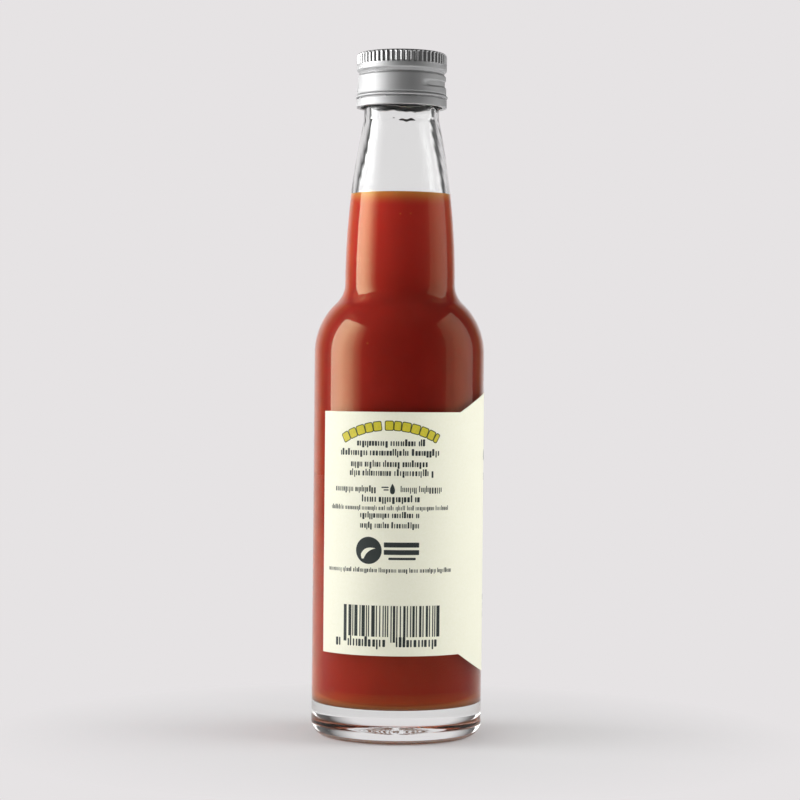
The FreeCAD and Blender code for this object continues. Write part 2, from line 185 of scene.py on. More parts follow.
def inside_profile(gap=0.0):
    """The inside of the glass from the floor's middle to the lip. A gap sinks it into the wall."""
    wall = body_radius - BODY_WALL
    corner = arc((wall - FLOOR_CORNER, FLOOR + FLOOR_CORNER), FLOOR_CORNER + gap, -90, 0, 14)
    bend = ogee((wall + gap, SHOULDER_START), NECK_RADIUS - NECK_WALL + gap, SHOULDER_ARC - BODY_WALL + gap,
                ROOT_ARC + NECK_WALL - gap)
    rise = ogee(bend[-1], COLLAR_RADIUS - FINISH_WALL + gap, NECK_ARC, COLLAR_ARC)
    return [(0.0, FLOOR - gap)] + corner + bend + rise[1:] + [(rise[-1][0], bottle_top)]


cavity = inside_profile()
print(f"shoulder ends at {shoulder[-1][1]:.1f} mm, neck at {neck[-1][1]:.1f} mm, ring at {ring_foot:.1f} mm")

# %% [markdown]
# ## What blowing does to the glass
#
# The mould makes the outside true, and nothing but air shapes the inside. So the inside gets long, shallow
# waves, short ripples on its floor and in the neck, and a soft ridge just under the collar. Outside there
# are only small marks: ripples on the push-up, a ring of notches that keeps the foot from sticking to a wet
# table, and the thread under the cap. Sums of sines with a fixed seed make the waves, so that the glass is
# always the same.

# %% Glass mesh
rng = random.Random(7)
WAVES = [(rng.choice([1, 2, 3, 4, 5]), rng.uniform(0.05, 0.35), rng.uniform(0, TURN), rng.uniform(0.4, 1.0))
         for _ in range(9)]
WAVE_DEPTH, NECK_WAVE_DEPTH = 0.10, 0.25
RIPPLE, FLOOR_RIPPLE, PUSHUP_RIPPLE = 0.02, 0.18, 0.1
RIDGE_DROP, RIDGE_WIDTH, RIDGE_DEPTH, RIDGE_FRONT_DEPTH = 1.2, 0.55, 0.04, 0.22
STIPPLES, STIPPLE_DEPTH = 45, 0.18
THREAD_PITCH, THREAD_HALF, THREAD_DEPTH = 2.6, 0.7, 0.55
GLASS_AROUND = 180


def drift(angle, z):
    """How far the inside of a blown wall strays, about -1 to 1."""
    total = sum(w * math.sin(n * angle + k * z + p) for n, k, p, w in WAVES)
    return total / sum(w for *_, w in WAVES)


def tremble(angle, z):
    """Short ripples, about -1 to 1."""
    slow_and_middling = math.sin(7 * angle + 2.1 * z) + math.sin(11 * angle - 3.7 * z + 1.3)
    return (slow_and_middling + math.sin(23 * angle + 1.7 * z + 4.0)) / 3


def blow(angle, r, z, index):
    """Waves on the inside, stippling on the bearing ring and the glass thread on the finish."""
    if index >= len(outline):
        depth = WAVE_DEPTH + NECK_WAVE_DEPTH * smooth(100, 135, z)
        ridge = math.exp(-((z - neck[-1][1] + RIDGE_DROP + 0.4 * tremble(angle, 0)) / RIDGE_WIDTH) ** 2)
        r += depth * drift(angle, z) * smooth(FLOOR - 1, FLOOR + 6, z)
        front = max(0.0, math.cos(angle - 0.1)) ** 6
        pressed = (RIDGE_DEPTH + RIDGE_FRONT_DEPTH * front) * ridge * (1 + 0.6 * tremble(angle, 9))
        r += RIPPLE * tremble(angle, z) * smooth(128, 134, z) - pressed
        return r, z + (FLOOR_RIPPLE * tremble(angle, r) if z < FLOOR + 0.5 and r > 1 else 0)
    if z < 1e-6 and r > 1:
        notch = max(0.0, math.sin(angle * STIPPLES)) ** 2
        return r, z + STIPPLE_DEPTH * notch
    if z < PUSHUP + 0.1 and 1 < r < bearing_inner:
        return r, z + PUSHUP_RIPPLE * tremble(2 * angle, r)
    if ring_foot + 2.0 < z < ring_foot + 8.2 and r > 9.5:
        turns = angle / TURN
        nearest = min(abs(z - (ring_foot + 3.0 + THREAD_PITCH * (turns + k))) for k in (-1, 0, 1))
        return r + THREAD_DEPTH * max(0.0, 1 - (nearest / THREAD_HALF) ** 2), z
    return r, z


outline = spread(outside, 1.6)
inner = spread(cavity[::-1], 1.0)
glass_mesh = turned("bottle_glass", outline + inner, GLASS_AROUND, blow)
glass = finish_piece("bottle_glass", glass_mesh, "glass_bottle", 50)

# %% [markdown]
# ## Clear glass
#
# Clear glass is the plainest of all materials and the easiest to spoil. It needs no texture: transmission of
# one, no roughness and the refractive index of soda-lime glass do the work, and a breath of green-grey in the
# colour is enough for the thick foot. One thing is added, a tint of the reflections that changes with
# height: neutral in the foot, warm in front of the sauce, and faint in the empty neck, which should be clear.

# %% Material helpers and glass
def new_material(name):
    """A material with its shader node, and short ways to add nodes and links."""
    material = bpy.data.materials.new(name)
    material.use_nodes = True
    nodes, links = material.node_tree.nodes, material.node_tree.links
    return material, nodes, links, nodes["Principled BSDF"]


def add_node(nodes, kind, **values):
    """Adds a node. Names that are inputs set the input, and the rest set the node's own properties."""
    node = nodes.new(kind)
    for key, value in values.items():
        label = key.replace("_", " ")
        if label in node.inputs:
            node.inputs[label].default_value = value
        else:
            setattr(node, key, value)
    return node


glass_material, nodes, links, shader = new_material("soda_lime_glass")
shader.inputs["Base Color"].default_value = (0.952, 0.96, 0.956, 1)
shader.inputs["Roughness"].default_value = 0.0
shader.inputs["IOR"].default_value = 1.52
shader.inputs["Transmission Weight"].default_value = 1.0
place = add_node(nodes, "ShaderNodeNewGeometry")
split = add_node(nodes, "ShaderNodeSeparateXYZ")
links.new(place.outputs["Position"], split.inputs[0])
height = add_node(nodes, "ShaderNodeMapRange", From_Max=cap_high * MM)
links.new(split.outputs["Z"], height.inputs["Value"])
shine = nodes.new("ShaderNodeValToRGB")
NEUTRAL, BODY_TINT, NECK_TINT = (0.8, 0.8, 0.8), (0.95, 0.8, 0.42), (1.0, 1.05, 0.55)
SHINE = [(0, NEUTRAL), (FLOOR, NEUTRAL), (FLOOR + 0.5, (1.0, 0.22, 0.1)), (24, (1.0, 0.3, 0.15)),
         (60, BODY_TINT), (90, BODY_TINT), (105, NECK_TINT), (sauce_level, NECK_TINT),
         (sauce_level + 0.4, (0.12, 0.12, 0.12))]
marks = shine.color_ramp.elements
for number, (z, tint) in enumerate(SHINE):
    mark = marks[number] if number < 2 else marks.new(z / cap_high)
    mark.position = z / cap_high
    mark.color = (*tint, 1)
links.new(height.outputs[0], shine.inputs["Fac"])
links.new(shine.outputs["Color"], shader.inputs["Specular Tint"])
glass.data.materials.append(glass_material)
print(f"glass: {len(SHINE)} tints from foot to cap")

# %% [markdown]
# ## The sauce
#
# The sauce fills the glass up to the neck. If its mesh stopped exactly at the glass, the two surfaces would
# flicker into each other, and if it stopped short, an air gap would turn the wall into a mirror. So it
# reaches a little way into the wall. At the top it climbs the glass in a small meniscus.

# %% Sauce mesh
SOAK = 0.3
MENISCUS, MENISCUS_REACH = 0.7, 2.6
filled = [point for point in inside_profile(SOAK) if point[1] < sauce_level]
edge_radius = filled[-1][0] - 0.08
surface = [(edge_radius, sauce_level), (edge_radius - SOAK, sauce_level - 0.02)]
for t in (0.1, 0.25, 0.45, 0.7, 1.0):
    surface.append((edge_radius - SOAK - MENISCUS_REACH * t, sauce_level - MENISCUS * smooth(0, 1, t) ** 0.5))
surface += [(edge_radius * share, sauce_level - MENISCUS) for share in (0.45, 0.2, 0.0)]
sauce_mesh = turned("hot_sauce", spread(filled, 1.6) + surface, 160)
sauce = finish_piece("hot_sauce", sauce_mesh, "sauce", 60)

# %% [markdown]
# ## Pepper sauce
#
# A pepper sauce is a thick red with pulp in it, and light goes a little way in before it comes back. A soft
# noise makes the body uneven and a few pale cells are seeds and pulp. The rest is painted light: masks by
# height and by viewing angle blend in a painted orange glow at the level, along the foot and at the edges
# of the bottle, as if light shone through thin sauce there. The red is painted lighter up in the narrow
# neck, and darkest underneath, a painted shade where no lamp reaches.

# %% Sauce material
sauce_material, nodes, links, shader = new_material("pepper_sauce")
place = add_node(nodes, "ShaderNodeNewGeometry")
split = add_node(nodes, "ShaderNodeSeparateXYZ")
links.new(place.outputs["Position"], split.inputs[0])

clouds = add_node(nodes, "ShaderNodeTexNoise", Scale=90.0, Detail=3.0, Roughness=0.5)
links.new(place.outputs["Position"], clouds.inputs["Vector"])
body_ramp = nodes.new("ShaderNodeValToRGB")
body_ramp.color_ramp.elements[0].position = 0.3
body_ramp.color_ramp.elements[0].color = (0.49, 0.027, 0.019, 1)
body_ramp.color_ramp.elements[1].position = 0.7
body_ramp.color_ramp.elements[1].color = (0.57, 0.034, 0.024, 1)
links.new(clouds.outputs["Fac"], body_ramp.inputs["Fac"])

specks = add_node(nodes, "ShaderNodeTexVoronoi", Scale=420.0, Randomness=1.0)
links.new(place.outputs["Position"], specks.inputs["Vector"])
speck_mask = add_node(nodes, "ShaderNodeMapRange", From_Min=0.10, From_Max=0.05, To_Max=0.4)
links.new(specks.outputs["Distance"], speck_mask.inputs["Value"])
few = add_node(nodes, "ShaderNodeMath", operation="GREATER_THAN")
few.inputs[1].default_value = 0.93
speck_pick = add_node(nodes, "ShaderNodeSeparateColor")
links.new(specks.outputs["Color"], speck_pick.inputs[0])
links.new(speck_pick.outputs[0], few.inputs[0])
speck_on = add_node(nodes, "ShaderNodeMath", operation="MULTIPLY")
links.new(speck_mask.outputs[0], speck_on.inputs[0])
links.new(few.outputs[0], speck_on.inputs[1])

# Painted glow: the sauce just under its level is blended towards orange, as if light shone through its thin
# top.
top_glow_mask = add_node(nodes, "ShaderNodeMapRange", From_Min=(sauce_level - 3.6) * MM,
                    From_Max=(sauce_level - 0.2) * MM)
links.new(split.outputs["Z"], top_glow_mask.inputs["Value"])
top_glow_curve = add_node(nodes, "ShaderNodeMath", operation="POWER")
top_glow_curve.inputs[1].default_value = 2.0
links.new(top_glow_mask.outputs[0], top_glow_curve.inputs[0])
# Painted glow: a faint orange band along the foot of the sauce.
foot_glow_mask = add_node(nodes, "ShaderNodeMapRange", From_Min=(FLOOR + 4) * MM, From_Max=(FLOOR + 1.5) * MM)
foot_glow_mask.inputs["To Max"].default_value = 0.2
links.new(split.outputs["Z"], foot_glow_mask.inputs["Value"])
# The painted glow at the top and at the foot together.
thin = add_node(nodes, "ShaderNodeMath", operation="MAXIMUM")
links.new(top_glow_curve.outputs[0], thin.inputs[0])
links.new(foot_glow_mask.outputs[0], thin.inputs[1])
# The pale pulp specks are real, and they share the orange with the painted glow.
pulp_and_glow = add_node(nodes, "ShaderNodeMath", operation="MAXIMUM")
links.new(thin.outputs[0], pulp_and_glow.inputs[0])
links.new(speck_on.outputs[0], pulp_and_glow.inputs[1])

# The orange that the pulp specks and the painted glow blend in.
blend = add_node(nodes, "ShaderNodeMix", data_type="RGBA")
blend.inputs[7].default_value = (1.0, 0.42, 0.10, 1)
# Painted rim glow: where the surface turns away from the view, the sauce is blended towards orange.
rim = add_node(nodes, "ShaderNodeLayerWeight", Blend=0.5)
rim_glow_mask = add_node(nodes, "ShaderNodeMapRange", From_Min=0.22, From_Max=0.32, To_Max=0.35)
links.new(rim.outputs["Facing"], rim_glow_mask.inputs["Value"])
pulp_and_all_glow = add_node(nodes, "ShaderNodeMath", operation="MAXIMUM")
links.new(pulp_and_glow.outputs[0], pulp_and_all_glow.inputs[0])
links.new(rim_glow_mask.outputs[0], pulp_and_all_glow.inputs[1])
links.new(pulp_and_all_glow.outputs[0], blend.inputs[0])
# Painted light: the red is painted lighter up in the narrow neck.
rise = add_node(nodes, "ShaderNodeMapRange", From_Min=95 * MM, From_Max=sauce_level * MM)
links.new(split.outputs["Z"], rise.inputs["Value"])
lighter = add_node(nodes, "ShaderNodeMix", data_type="RGBA")
lighter.inputs[7].default_value = (0.86, 0.064, 0.045, 1)
links.new(rise.outputs[0], lighter.inputs[0])
links.new(body_ramp.outputs["Color"], lighter.inputs[6])
underside = add_node(nodes, "ShaderNodeSeparateXYZ")
links.new(place.outputs["Normal"], underside.inputs[0])
unlit = add_node(nodes, "ShaderNodeMapRange", From_Min=-0.4, From_Max=-0.9)
links.new(underside.outputs["Z"], unlit.inputs["Value"])
deep = add_node(nodes, "ShaderNodeMix", data_type="RGBA")
deep.inputs[7].default_value = (0.11, 0.012, 0.008, 1)
links.new(unlit.outputs[0], deep.inputs[0])
links.new(lighter.outputs[2], deep.inputs[6])
links.new(deep.outputs[2], blend.inputs[6])
links.new(blend.outputs[2], shader.inputs["Base Color"])
shader.inputs["Roughness"].default_value = 0.08
shader.inputs["IOR"].default_value = 1.45
shader.inputs["Specular Tint"].default_value = (0.5, 0.25, 0.1, 1)
shader.inputs["Subsurface Weight"].default_value = 0.35
shader.inputs["Subsurface Radius"].default_value = (1.0, 0.22, 0.1)
shader.inputs["Subsurface Scale"].default_value = 0.002
sauce.data.materials.append(sauce_material)
print(f"sauce: {len(nodes)} nodes")

# %% [markdown]
# ## The cap
#
# A roll-on cap starts as a plain aluminium cup. A machine presses rollers against it on the bottle: they turn
# the lower edge in under the glass ring and push the metal into the glass thread, which leaves a groove
# that climbs to the right and fades out. The flutes, the groove under the head, the bead and the slit of the
# tamper band were rolled before. The profile goes down the outside, round the hem and up the inside.

# %% Cap profile
HEAD_RADIUS, SKIRT_RADIUS, SKIRT_BORE = 10.87, 10.67, 10.42
GROOVE_TOP, GROOVE_FOOT = cap_high - 4.35, cap_high - 5.7
SLIT_FOOT = ring_foot + 0.5
SLIT_TOP = SLIT_FOOT + 0.22
BAND_RADIUS, FLARE_RADIUS, HEM_BORE = 10.92, 10.77, 9.92
BEAD_RADIUS, BEAD_ROUNDING, BEAD_HEIGHT = 11.13, 0.38, 1.1
TOP_ROUNDING, HEAD_ROUNDING, BAND_ROUNDING, HEM_ROUNDING = 0.9, 0.35, 0.18, 0.15
GROOVE_DEPTH, SLIT_DEPTH, SKIRT_FLARE = 0.5, 0.3, 0.13

cap_outside = [(0.0, cap_high), (4.0, cap_high), (8.0, cap_high)]
cap_outside += arc((HEAD_RADIUS - TOP_ROUNDING, cap_high - TOP_ROUNDING), TOP_ROUNDING, 90, 0, 14)
cap_outside += [(HEAD_RADIUS, cap_high - drop) for drop in (1.2, 1.8, 2.4, 2.6, 2.7, 2.8, 2.9, 3.0, 3.2, 3.7)]
cap_outside += arc((HEAD_RADIUS - HEAD_ROUNDING, GROOVE_TOP + 0.3), HEAD_ROUNDING, 0, -50, 6)
groove_rim = cap_outside[-1]
for step in range(1, 16):
    t = step / 16
    rim = groove_rim[0] + (SKIRT_RADIUS - groove_rim[0]) * t
    z = groove_rim[1] + (GROOVE_FOOT - groove_rim[1]) * t
    cap_outside.append((rim - GROOVE_DEPTH * math.sin(math.pi * t) ** 1.5, z))
skirt_steps = 40
bead_top = SLIT_TOP + BEAD_HEIGHT
for step in range(skirt_steps + 1):
    t = step / skirt_steps
    cap_outside.append((SKIRT_RADIUS + SKIRT_FLARE * t, GROOVE_FOOT + (bead_top - GROOVE_FOOT) * t))
cap_outside += [(SKIRT_RADIUS + 0.06, bead_top - 0.12), (SKIRT_RADIUS + 0.1, bead_top - 0.24)]
cap_outside += arc((BEAD_RADIUS - BEAD_ROUNDING, SLIT_TOP + 0.4), BEAD_ROUNDING, 55, -60, 12)
slit_first = len(cap_outside)
cap_outside += [(FLARE_RADIUS, SLIT_TOP), (FLARE_RADIUS - SLIT_DEPTH, SLIT_TOP - 0.02)]
cap_outside += [(FLARE_RADIUS - SLIT_DEPTH, SLIT_FOOT + 0.02), (FLARE_RADIUS, SLIT_FOOT)]
slit_last = len(cap_outside)
cap_outside += arc((BAND_RADIUS - 0.2, SLIT_FOOT - 0.2), 0.2, 80, 0, 6)
cap_outside += arc((BAND_RADIUS - BAND_ROUNDING, cap_low + BAND_ROUNDING), BAND_ROUNDING, 0, -90, 8)
cap_outside += arc((HEM_BORE + HEM_ROUNDING, cap_low + HEM_ROUNDING), HEM_ROUNDING, -90, -180, 5)
cap_inside = [(HEM_BORE, cap_low + 0.5), (SKIRT_BORE, ring_foot - 0.12), (SKIRT_BORE, ring_foot + 3.0),
              (SKIRT_BORE, ring_foot + 5.2)]
cap_inside += [(SKIRT_BORE - 0.4 * math.sin(math.pi * i / 8), ring_foot + 5.4 + 0.2 * i) for i in range(9)]
cap_inside += [(SKIRT_BORE, bottle_top + 0.02), (4.0, bottle_top + 0.02), (0.0, bottle_top + 0.02)]
print(f"cap profile: {len(cap_outside)} points outside, {len(cap_inside)} inside")

# %% [markdown]
# ## Rolled details of the cap
#
# Flutes, thread and slit could be cut with booleans, but each is only a change of radius on a thin wall, so
# they all go into one function that is handed every point. Each flute has twelve columns of points, enough
# for its round hollow. Eight narrow bridges interrupt the slit, and the thread starts softly, climbs for
# about half a turn and fades.

# %% Cap mesh
FLUTES, PER_FLUTE = 56, 12
FLUTE_HALF, FLUTE_DEPTH = 0.36, 0.33
BRIDGES, BRIDGE_HALF = 8, 0.055
ROLLED_FOOT, ROLLED_HALF, ROLLED_DEPTH = 3.62, 0.95, 0.62
THREAD_START, THREAD_FULL, THREAD_FADE, THREAD_END = (math.radians(a) for a in (22, 48, 230, 285))


def roll(angle, r, z, index):
    """Presses the flutes, the slit's bridges and the fading thread into the cap's wall."""
    if index >= len(cap_outside):
        return r, z
    if z > cap_high - 3.0 and r > HEAD_RADIUS - 0.8:
        across = (angle * FLUTES / TURN) % 1 - 0.5
        hollow = max(0.0, 1 - (across / FLUTE_HALF) ** 2)
        ends = smooth(cap_high - 2.95, cap_high - 2.65, z) * (1 - smooth(cap_high - 0.6, cap_high - 0.25, z))
        return r - FLUTE_DEPTH * hollow * ends, z
    if slit_first <= index < slit_last:
        bridge = abs((angle * BRIDGES / TURN) % 1 - 0.5) < BRIDGE_HALF
        return (FLARE_RADIUS if bridge else r), z
    if bead_top < z < GROOVE_FOOT + 0.05 and r < SKIRT_RADIUS + 0.2:
        present = smooth(THREAD_START, THREAD_FULL, angle) * (1 - smooth(THREAD_FADE, THREAD_END, angle))
        middle = ring_foot + ROLLED_FOOT + THREAD_PITCH * angle / TURN
        dip = max(0.0, 1 - ((z - middle) / ROLLED_HALF) ** 2) ** 1.5
        return r - ROLLED_DEPTH * dip * present, z
    return r, z


cap_mesh = turned("rolled_cap", cap_outside + cap_inside, FLUTES * PER_FLUTE, roll)
cap = finish_piece("rolled_cap", cap_mesh, "screw_cap", 38)

# %% [markdown]
# ## Satin aluminium
#
# The cap isn't polished: it has a fine grain that runs round it and spreads each reflection into a soft, wide
# band. A noise that is squeezed flat in height draws that grain, as a touch of bump and as small changes in
# roughness. The anisotropic setting, with a tangent that runs round the axis, stretches the highlights as on
# spun metal. The rollers burnish the fluted head, so its roughness is halved.

# %% Cap material
cap_material, nodes, links, shader = new_material("satin_aluminium")
place = add_node(nodes, "ShaderNodeNewGeometry")
stretch = add_node(nodes, "ShaderNodeMapping")
stretch.inputs["Scale"].default_value = (120, 120, 3200)
links.new(place.outputs["Position"], stretch.inputs["Vector"])
grain = add_node(nodes, "ShaderNodeTexNoise", Scale=1.0, Detail=4.0, Roughness=0.6)
links.new(stretch.outputs[0], grain.inputs["Vector"])
satin = add_node(nodes, "ShaderNodeMapRange", From_Min=0.3, From_Max=0.7, To_Min=0.54, To_Max=0.60)
links.new(grain.outputs["Fac"], satin.inputs["Value"])
height = add_node(nodes, "ShaderNodeSeparateXYZ")
links.new(place.outputs["Position"], height.inputs[0])
fluted = add_node(nodes, "ShaderNodeMapRange", From_Min=(cap_high - 3.3) * MM,
                  From_Max=(cap_high - 2.7) * MM, To_Min=1.0, To_Max=0.5)
links.new(height.outputs["Z"], fluted.inputs["Value"])
burnish = add_node(nodes, "ShaderNodeMath", operation="MULTIPLY")
links.new(satin.outputs[0], burnish.inputs[0])
links.new(fluted.outputs[0], burnish.inputs[1])
links.new(burnish.outputs[0], shader.inputs["Roughness"])
bump = add_node(nodes, "ShaderNodeBump", Strength=0.06, Distance=0.0001)
links.new(grain.outputs["Fac"], bump.inputs["Height"])
links.new(bump.outputs[0], shader.inputs["Normal"])
shader.inputs["Base Color"].default_value = (0.66, 0.66, 0.66, 1)
shader.inputs["Metallic"].default_value = 1.0
shader.inputs["Anisotropic"].default_value = 0.5
around = add_node(nodes, "ShaderNodeTangent", direction_type="RADIAL", axis="Z")
links.new(around.outputs[0], shader.inputs["Tangent"])
cap.data.materials.append(cap_material)
print(f"aluminium: {len(nodes)} nodes")

# %% [markdown]
# ## The label
#
# One strip of cream paper, glued round the straight part of the body. Its wings are plain rectangles, and the
# front panel between them is taller, with edges that peak in the middle. Cut flat it would be a wavy outline;
# on the bottle it reads as two slanting lines. The sheet is a real thickness of paper with both faces, so its
# edge catches the light.

# %% Label sheet
LABEL_FOOT, LABEL_HEAD = 21.2, 78.4
PANEL_FACING, PANEL_HALF, LABEL_GAP = 95.0, 49.6, 54.0
PANEL_RISE, PANEL_DROP = 0.66, 0.76
PAPER_OUTSIDE, PAPER_INSIDE = body_radius + 0.075, body_radius + 0.004
LABEL_COLUMNS, LABEL_ROWS = 300, 28
panel_corner = body_radius * math.cos(math.radians(PANEL_HALF))


def label_edges(angle):
    """Lower and upper edge of the label at an angle in degrees, counted from -Y towards +X."""
    reach = (body_radius + 0.1) * math.cos(math.radians(angle - PANEL_FACING)) - panel_corner
    reach = max(0.0, reach)
    return LABEL_FOOT - PANEL_DROP * reach, LABEL_HEAD + PANEL_RISE * reach


def on_bottle(angle, radius, z):
    """A point in metres from an angle in degrees and millimetres."""
    turn = math.radians(angle)
    return Vector((radius * math.sin(turn) * MM, -radius * math.cos(turn) * MM, z * MM))


def wrapped_sheet(name):
    """The label's paper, in columns of points from its lower to its upper edge."""
    half = 180 - LABEL_GAP / 2
    stations = [PANEL_FACING - half + 2 * half * i / LABEL_COLUMNS for i in range(LABEL_COLUMNS + 1)]
    stations += [PANEL_FACING - PANEL_HALF, PANEL_FACING + PANEL_HALF]
    bm = bmesh.new()
    grid = []
    for angle in sorted(set(stations)):
        low, high = label_edges(angle)
        heights = [low + (high - low) * k / LABEL_ROWS for k in range(LABEL_ROWS + 1)]
        grid.append([bm.verts.new(on_bottle(angle, PAPER_OUTSIDE, z)) for z in heights])
    for left, right in zip(grid, grid[1:]):
        for k in range(LABEL_ROWS):
            bm.faces.new((left[k], right[k], right[k + 1], left[k + 1]))
    thicken(bm, PAPER_INSIDE)
    mesh = bpy.data.meshes.new(name)
    bm.to_mesh(mesh)
    bm.free()
    return mesh


def thicken(bm, inner_radius):
    """Gives an open sheet on the bottle its back face and its edges."""
    outer = list(bm.faces)
    copied = bmesh.ops.extrude_face_region(bm, geom=outer)
    moved = [item for item in copied["geom"] if isinstance(item, bmesh.types.BMVert)]
    for vert in moved:
        flat = Vector((vert.co.x, vert.co.y))
        flat = flat.normalized() * inner_radius * MM
        vert.co.x, vert.co.y = flat
    bmesh.ops.recalc_face_normals(bm, faces=list(bm.faces))


label = finish_piece("label_sheet", wrapped_sheet("label_sheet"), "paper_label")

# %% [markdown]
# ## Cream paper
#
# Uncoated paper is matt, warm and never quite even. A fine noise at the scale of its fibres shifts the cream
# a little and gives a faint bump. Anything stronger would look like cardboard at this size.

# %% Paper material
paper_material, nodes, links, shader = new_material("cream_paper")
place = add_node(nodes, "ShaderNodeNewGeometry")
fibres = add_node(nodes, "ShaderNodeTexNoise", Scale=1800.0, Detail=5.0, Roughness=0.7)
links.new(place.outputs["Position"], fibres.inputs["Vector"])
tone = nodes.new("ShaderNodeValToRGB")
tone.color_ramp.elements[0].position = 0.35
tone.color_ramp.elements[0].color = (0.93, 0.92, 0.74, 1)
tone.color_ramp.elements[1].position = 0.65
tone.color_ramp.elements[1].color = (0.96, 0.95, 0.79, 1)
links.new(fibres.outputs["Fac"], tone.inputs["Fac"])
links.new(tone.outputs["Color"], shader.inputs["Base Color"])
bump = add_node(nodes, "ShaderNodeBump", Strength=0.12, Distance=0.00003)
links.new(fibres.outputs["Fac"], bump.inputs["Height"])
links.new(bump.outputs[0], shader.inputs["Normal"])
shader.inputs["Roughness"].default_value = 0.62
shader.inputs["Specular IOR Level"].default_value = 0.3
label.data.materials.append(paper_material)
print(f"paper: {len(nodes)} nodes")

# %% [markdown]
# ## The print
#
# A real label carries names and text. Here plain shapes stand in for them, as in a designer's first layout:
# rows of short strokes for words, an arch of yellow blocks for the headline, a disc with a pepper, a drop and
# a set of bars. Each shape is drawn flat in millimetres, cut into narrow strips and then wrapped round the
# bottle as a film of ink on the paper.

# %% Flat shapes
def block(left, foot, width, height, corner=0.12, lean=0.0, steps=3):
    """A rectangle with rounded corners. lean turns it about its middle, in degrees."""
    corner = min(corner, width / 2, height / 2)
    points = []
    for cx, cy, start in ((left + width - corner, foot + height - corner, 0),
                          (left + corner, foot + height - corner, 90),
                          (left + corner, foot + corner, 180),
                          (left + width - corner, foot + corner, 270)):
        points += arc((cx, cy), corner, start, start + 90, steps)
    middle = (left + width / 2, foot + height / 2)
    cos, sin = math.cos(math.radians(lean)), math.sin(math.radians(lean))
    return [(middle[0] + (x - middle[0]) * cos - (y - middle[1]) * sin,
             middle[1] + (x - middle[0]) * sin + (y - middle[1]) * cos) for x, y in points]


def word_row(left, right, middle, height, seed, weight=0.72):
    """A row of words, each a group of short upright strokes, some of them taller."""
    pick = random.Random(seed)
    stroke = height * (0.16 + 0.13 * weight)
    shapes, x, strokes = [], left, pick.randint(5, 14)
    while x + stroke < right:
        if strokes == 0:
            x += height * 0.42
            strokes = pick.randint(4, 15)
            continue
        low, rise = pick.choice([(0, 1), (0, 1), (0, 1), (0, 1.4), (0, 1), (0.35, 1)])
        wide = stroke * pick.choice([1.0, 1.0, 1.7])
        foot = middle - height * (0.5 + low)
        shapes.append(block(x, foot, wide, height * (rise + low), stroke * 0.4, 0, 2))
        x += wide + height * pick.choice([0.14, 0.18, 0.26])
        strokes -= 1
    return shapes


STRIP, INK_SINK, OVERPRINT = 0.8, 0.01, 0.008


def wrap_print(name, shapes, radius, lift=0.0):
    """Cuts flat shapes into narrow strips and wraps them round the bottle as a thin film."""
    bm = bmesh.new()
    for shape in shapes:
        bm.faces.new([bm.verts.new((x, y, 0)) for x, y in shape])
    span = [v.co.x for v in bm.verts]
    at = math.floor(min(span))
    while at < max(span):
        geometry = list(bm.verts) + list(bm.edges) + list(bm.faces)
        bmesh.ops.bisect_plane(bm, geom=geometry, dist=1e-5, plane_co=(at, 0, 0), plane_no=(1, 0, 0))
        at += STRIP
    for vert in bm.verts:
        vert.co = on_bottle(math.degrees(vert.co.x / body_radius), radius + lift, vert.co.y)
    thicken(bm, radius - INK_SINK)
    mesh = bpy.data.meshes.new(name)
    bm.to_mesh(mesh)
    bm.free()
    return finish_piece(name, mesh)


# %% [markdown]
# ## Layout
#
# The wing with the small print is the side that faces the camera. Its rows stand a little left of the middle
# and differ in height and weight. Below them come a disc with a pepper, three bars, one long thin row and the
# striped field. Seeded random choices place the strokes, so the rows differ from one another but stay put.

# %% Layout of the small print
INK_RADIUS = PAPER_OUTSIDE + 0.012
dark = []
# Each row: left end, right end, middle, height of its strokes, and their weight from 0 to 1.
ROWS = [(-10.1, 6.2, 71.0, 1.15, 0.95), (-14.7, 10.8, 68.75, 1.15, 0.95), (-11.7, 7.1, 66.1, 1.15, 0.6),
        (-12.0, 8.5, 64.0, 1.15, 0.6), (-16.2, -4.9, 60.2, 1.05, 0.5), (0.6, 10.8, 60.2, 1.05, 0.5),
        (-8.7, 5.3, 57.9, 1.2, 1.0), (-17.6, 12.5, 55.8, 0.8, 0.4), (-9.1, 5.6, 54.1, 1.05, 1.0),
        (-9.1, 5.5, 51.7, 1.05, 0.5), (-18.5, 13.6, 41.2, 0.8, 0.5)]
for number, (left, right, middle, height, weight) in enumerate(ROWS):
    dark += word_row(left, right, middle, height, 40 + number, weight)


def circle(x, y, radius, steps=40):
    """A round disc."""
    angles = [TURN * i / steps for i in range(steps)]
    return [(x + radius * math.cos(a), y + radius * math.sin(a)) for a in angles]


def drop(x, y, size, steps=28):
    """A drop that points up."""
    points = []
    for i in range(steps):
        a = TURN * i / steps
        points.append((x + size * 0.62 * math.sin(a) * math.sin(a / 2), y + size * math.cos(a)))
    return points


def pepper(x, y, length, bow=0.28, lean=0.0, steps=18):
    """A chilli: a crescent, thick near its stalk and pointed at its tip."""
    upper, lower = [], []
    for i in range(steps + 1):
        t = i / steps
        spine = (length * (t - 0.5), bow * length * (1 - (2 * t - 1) ** 2))
        thick = length * 0.15 * math.sqrt(min(1.0, t * 9)) * (1 - t ** 2.2)
        upper.append((spine[0], spine[1] + thick))
        lower.append((spine[0], spine[1] - thick))
    turn = math.radians(lean)
    cos, sin = math.cos(turn), math.sin(turn)
    return [(x + px * cos - py * sin, y + px * sin + py * cos) for px, py in upper + lower[-2:0:-1]]


dark.append(drop(-1.3, 60.4, 1.25))
dark += [block(-3.9, 60.6, 1.7, 0.3), block(-3.4, 60.0, 1.2, 0.3)]
dark.append(circle(-6.9, 45.9, 3.2))
dark += [block(-3.2, 46.7, 8.3, 1.15), block(-3.2, 44.95, 8.3, 1.15), block(-2.1, 43.75, 6.4, 0.55)]

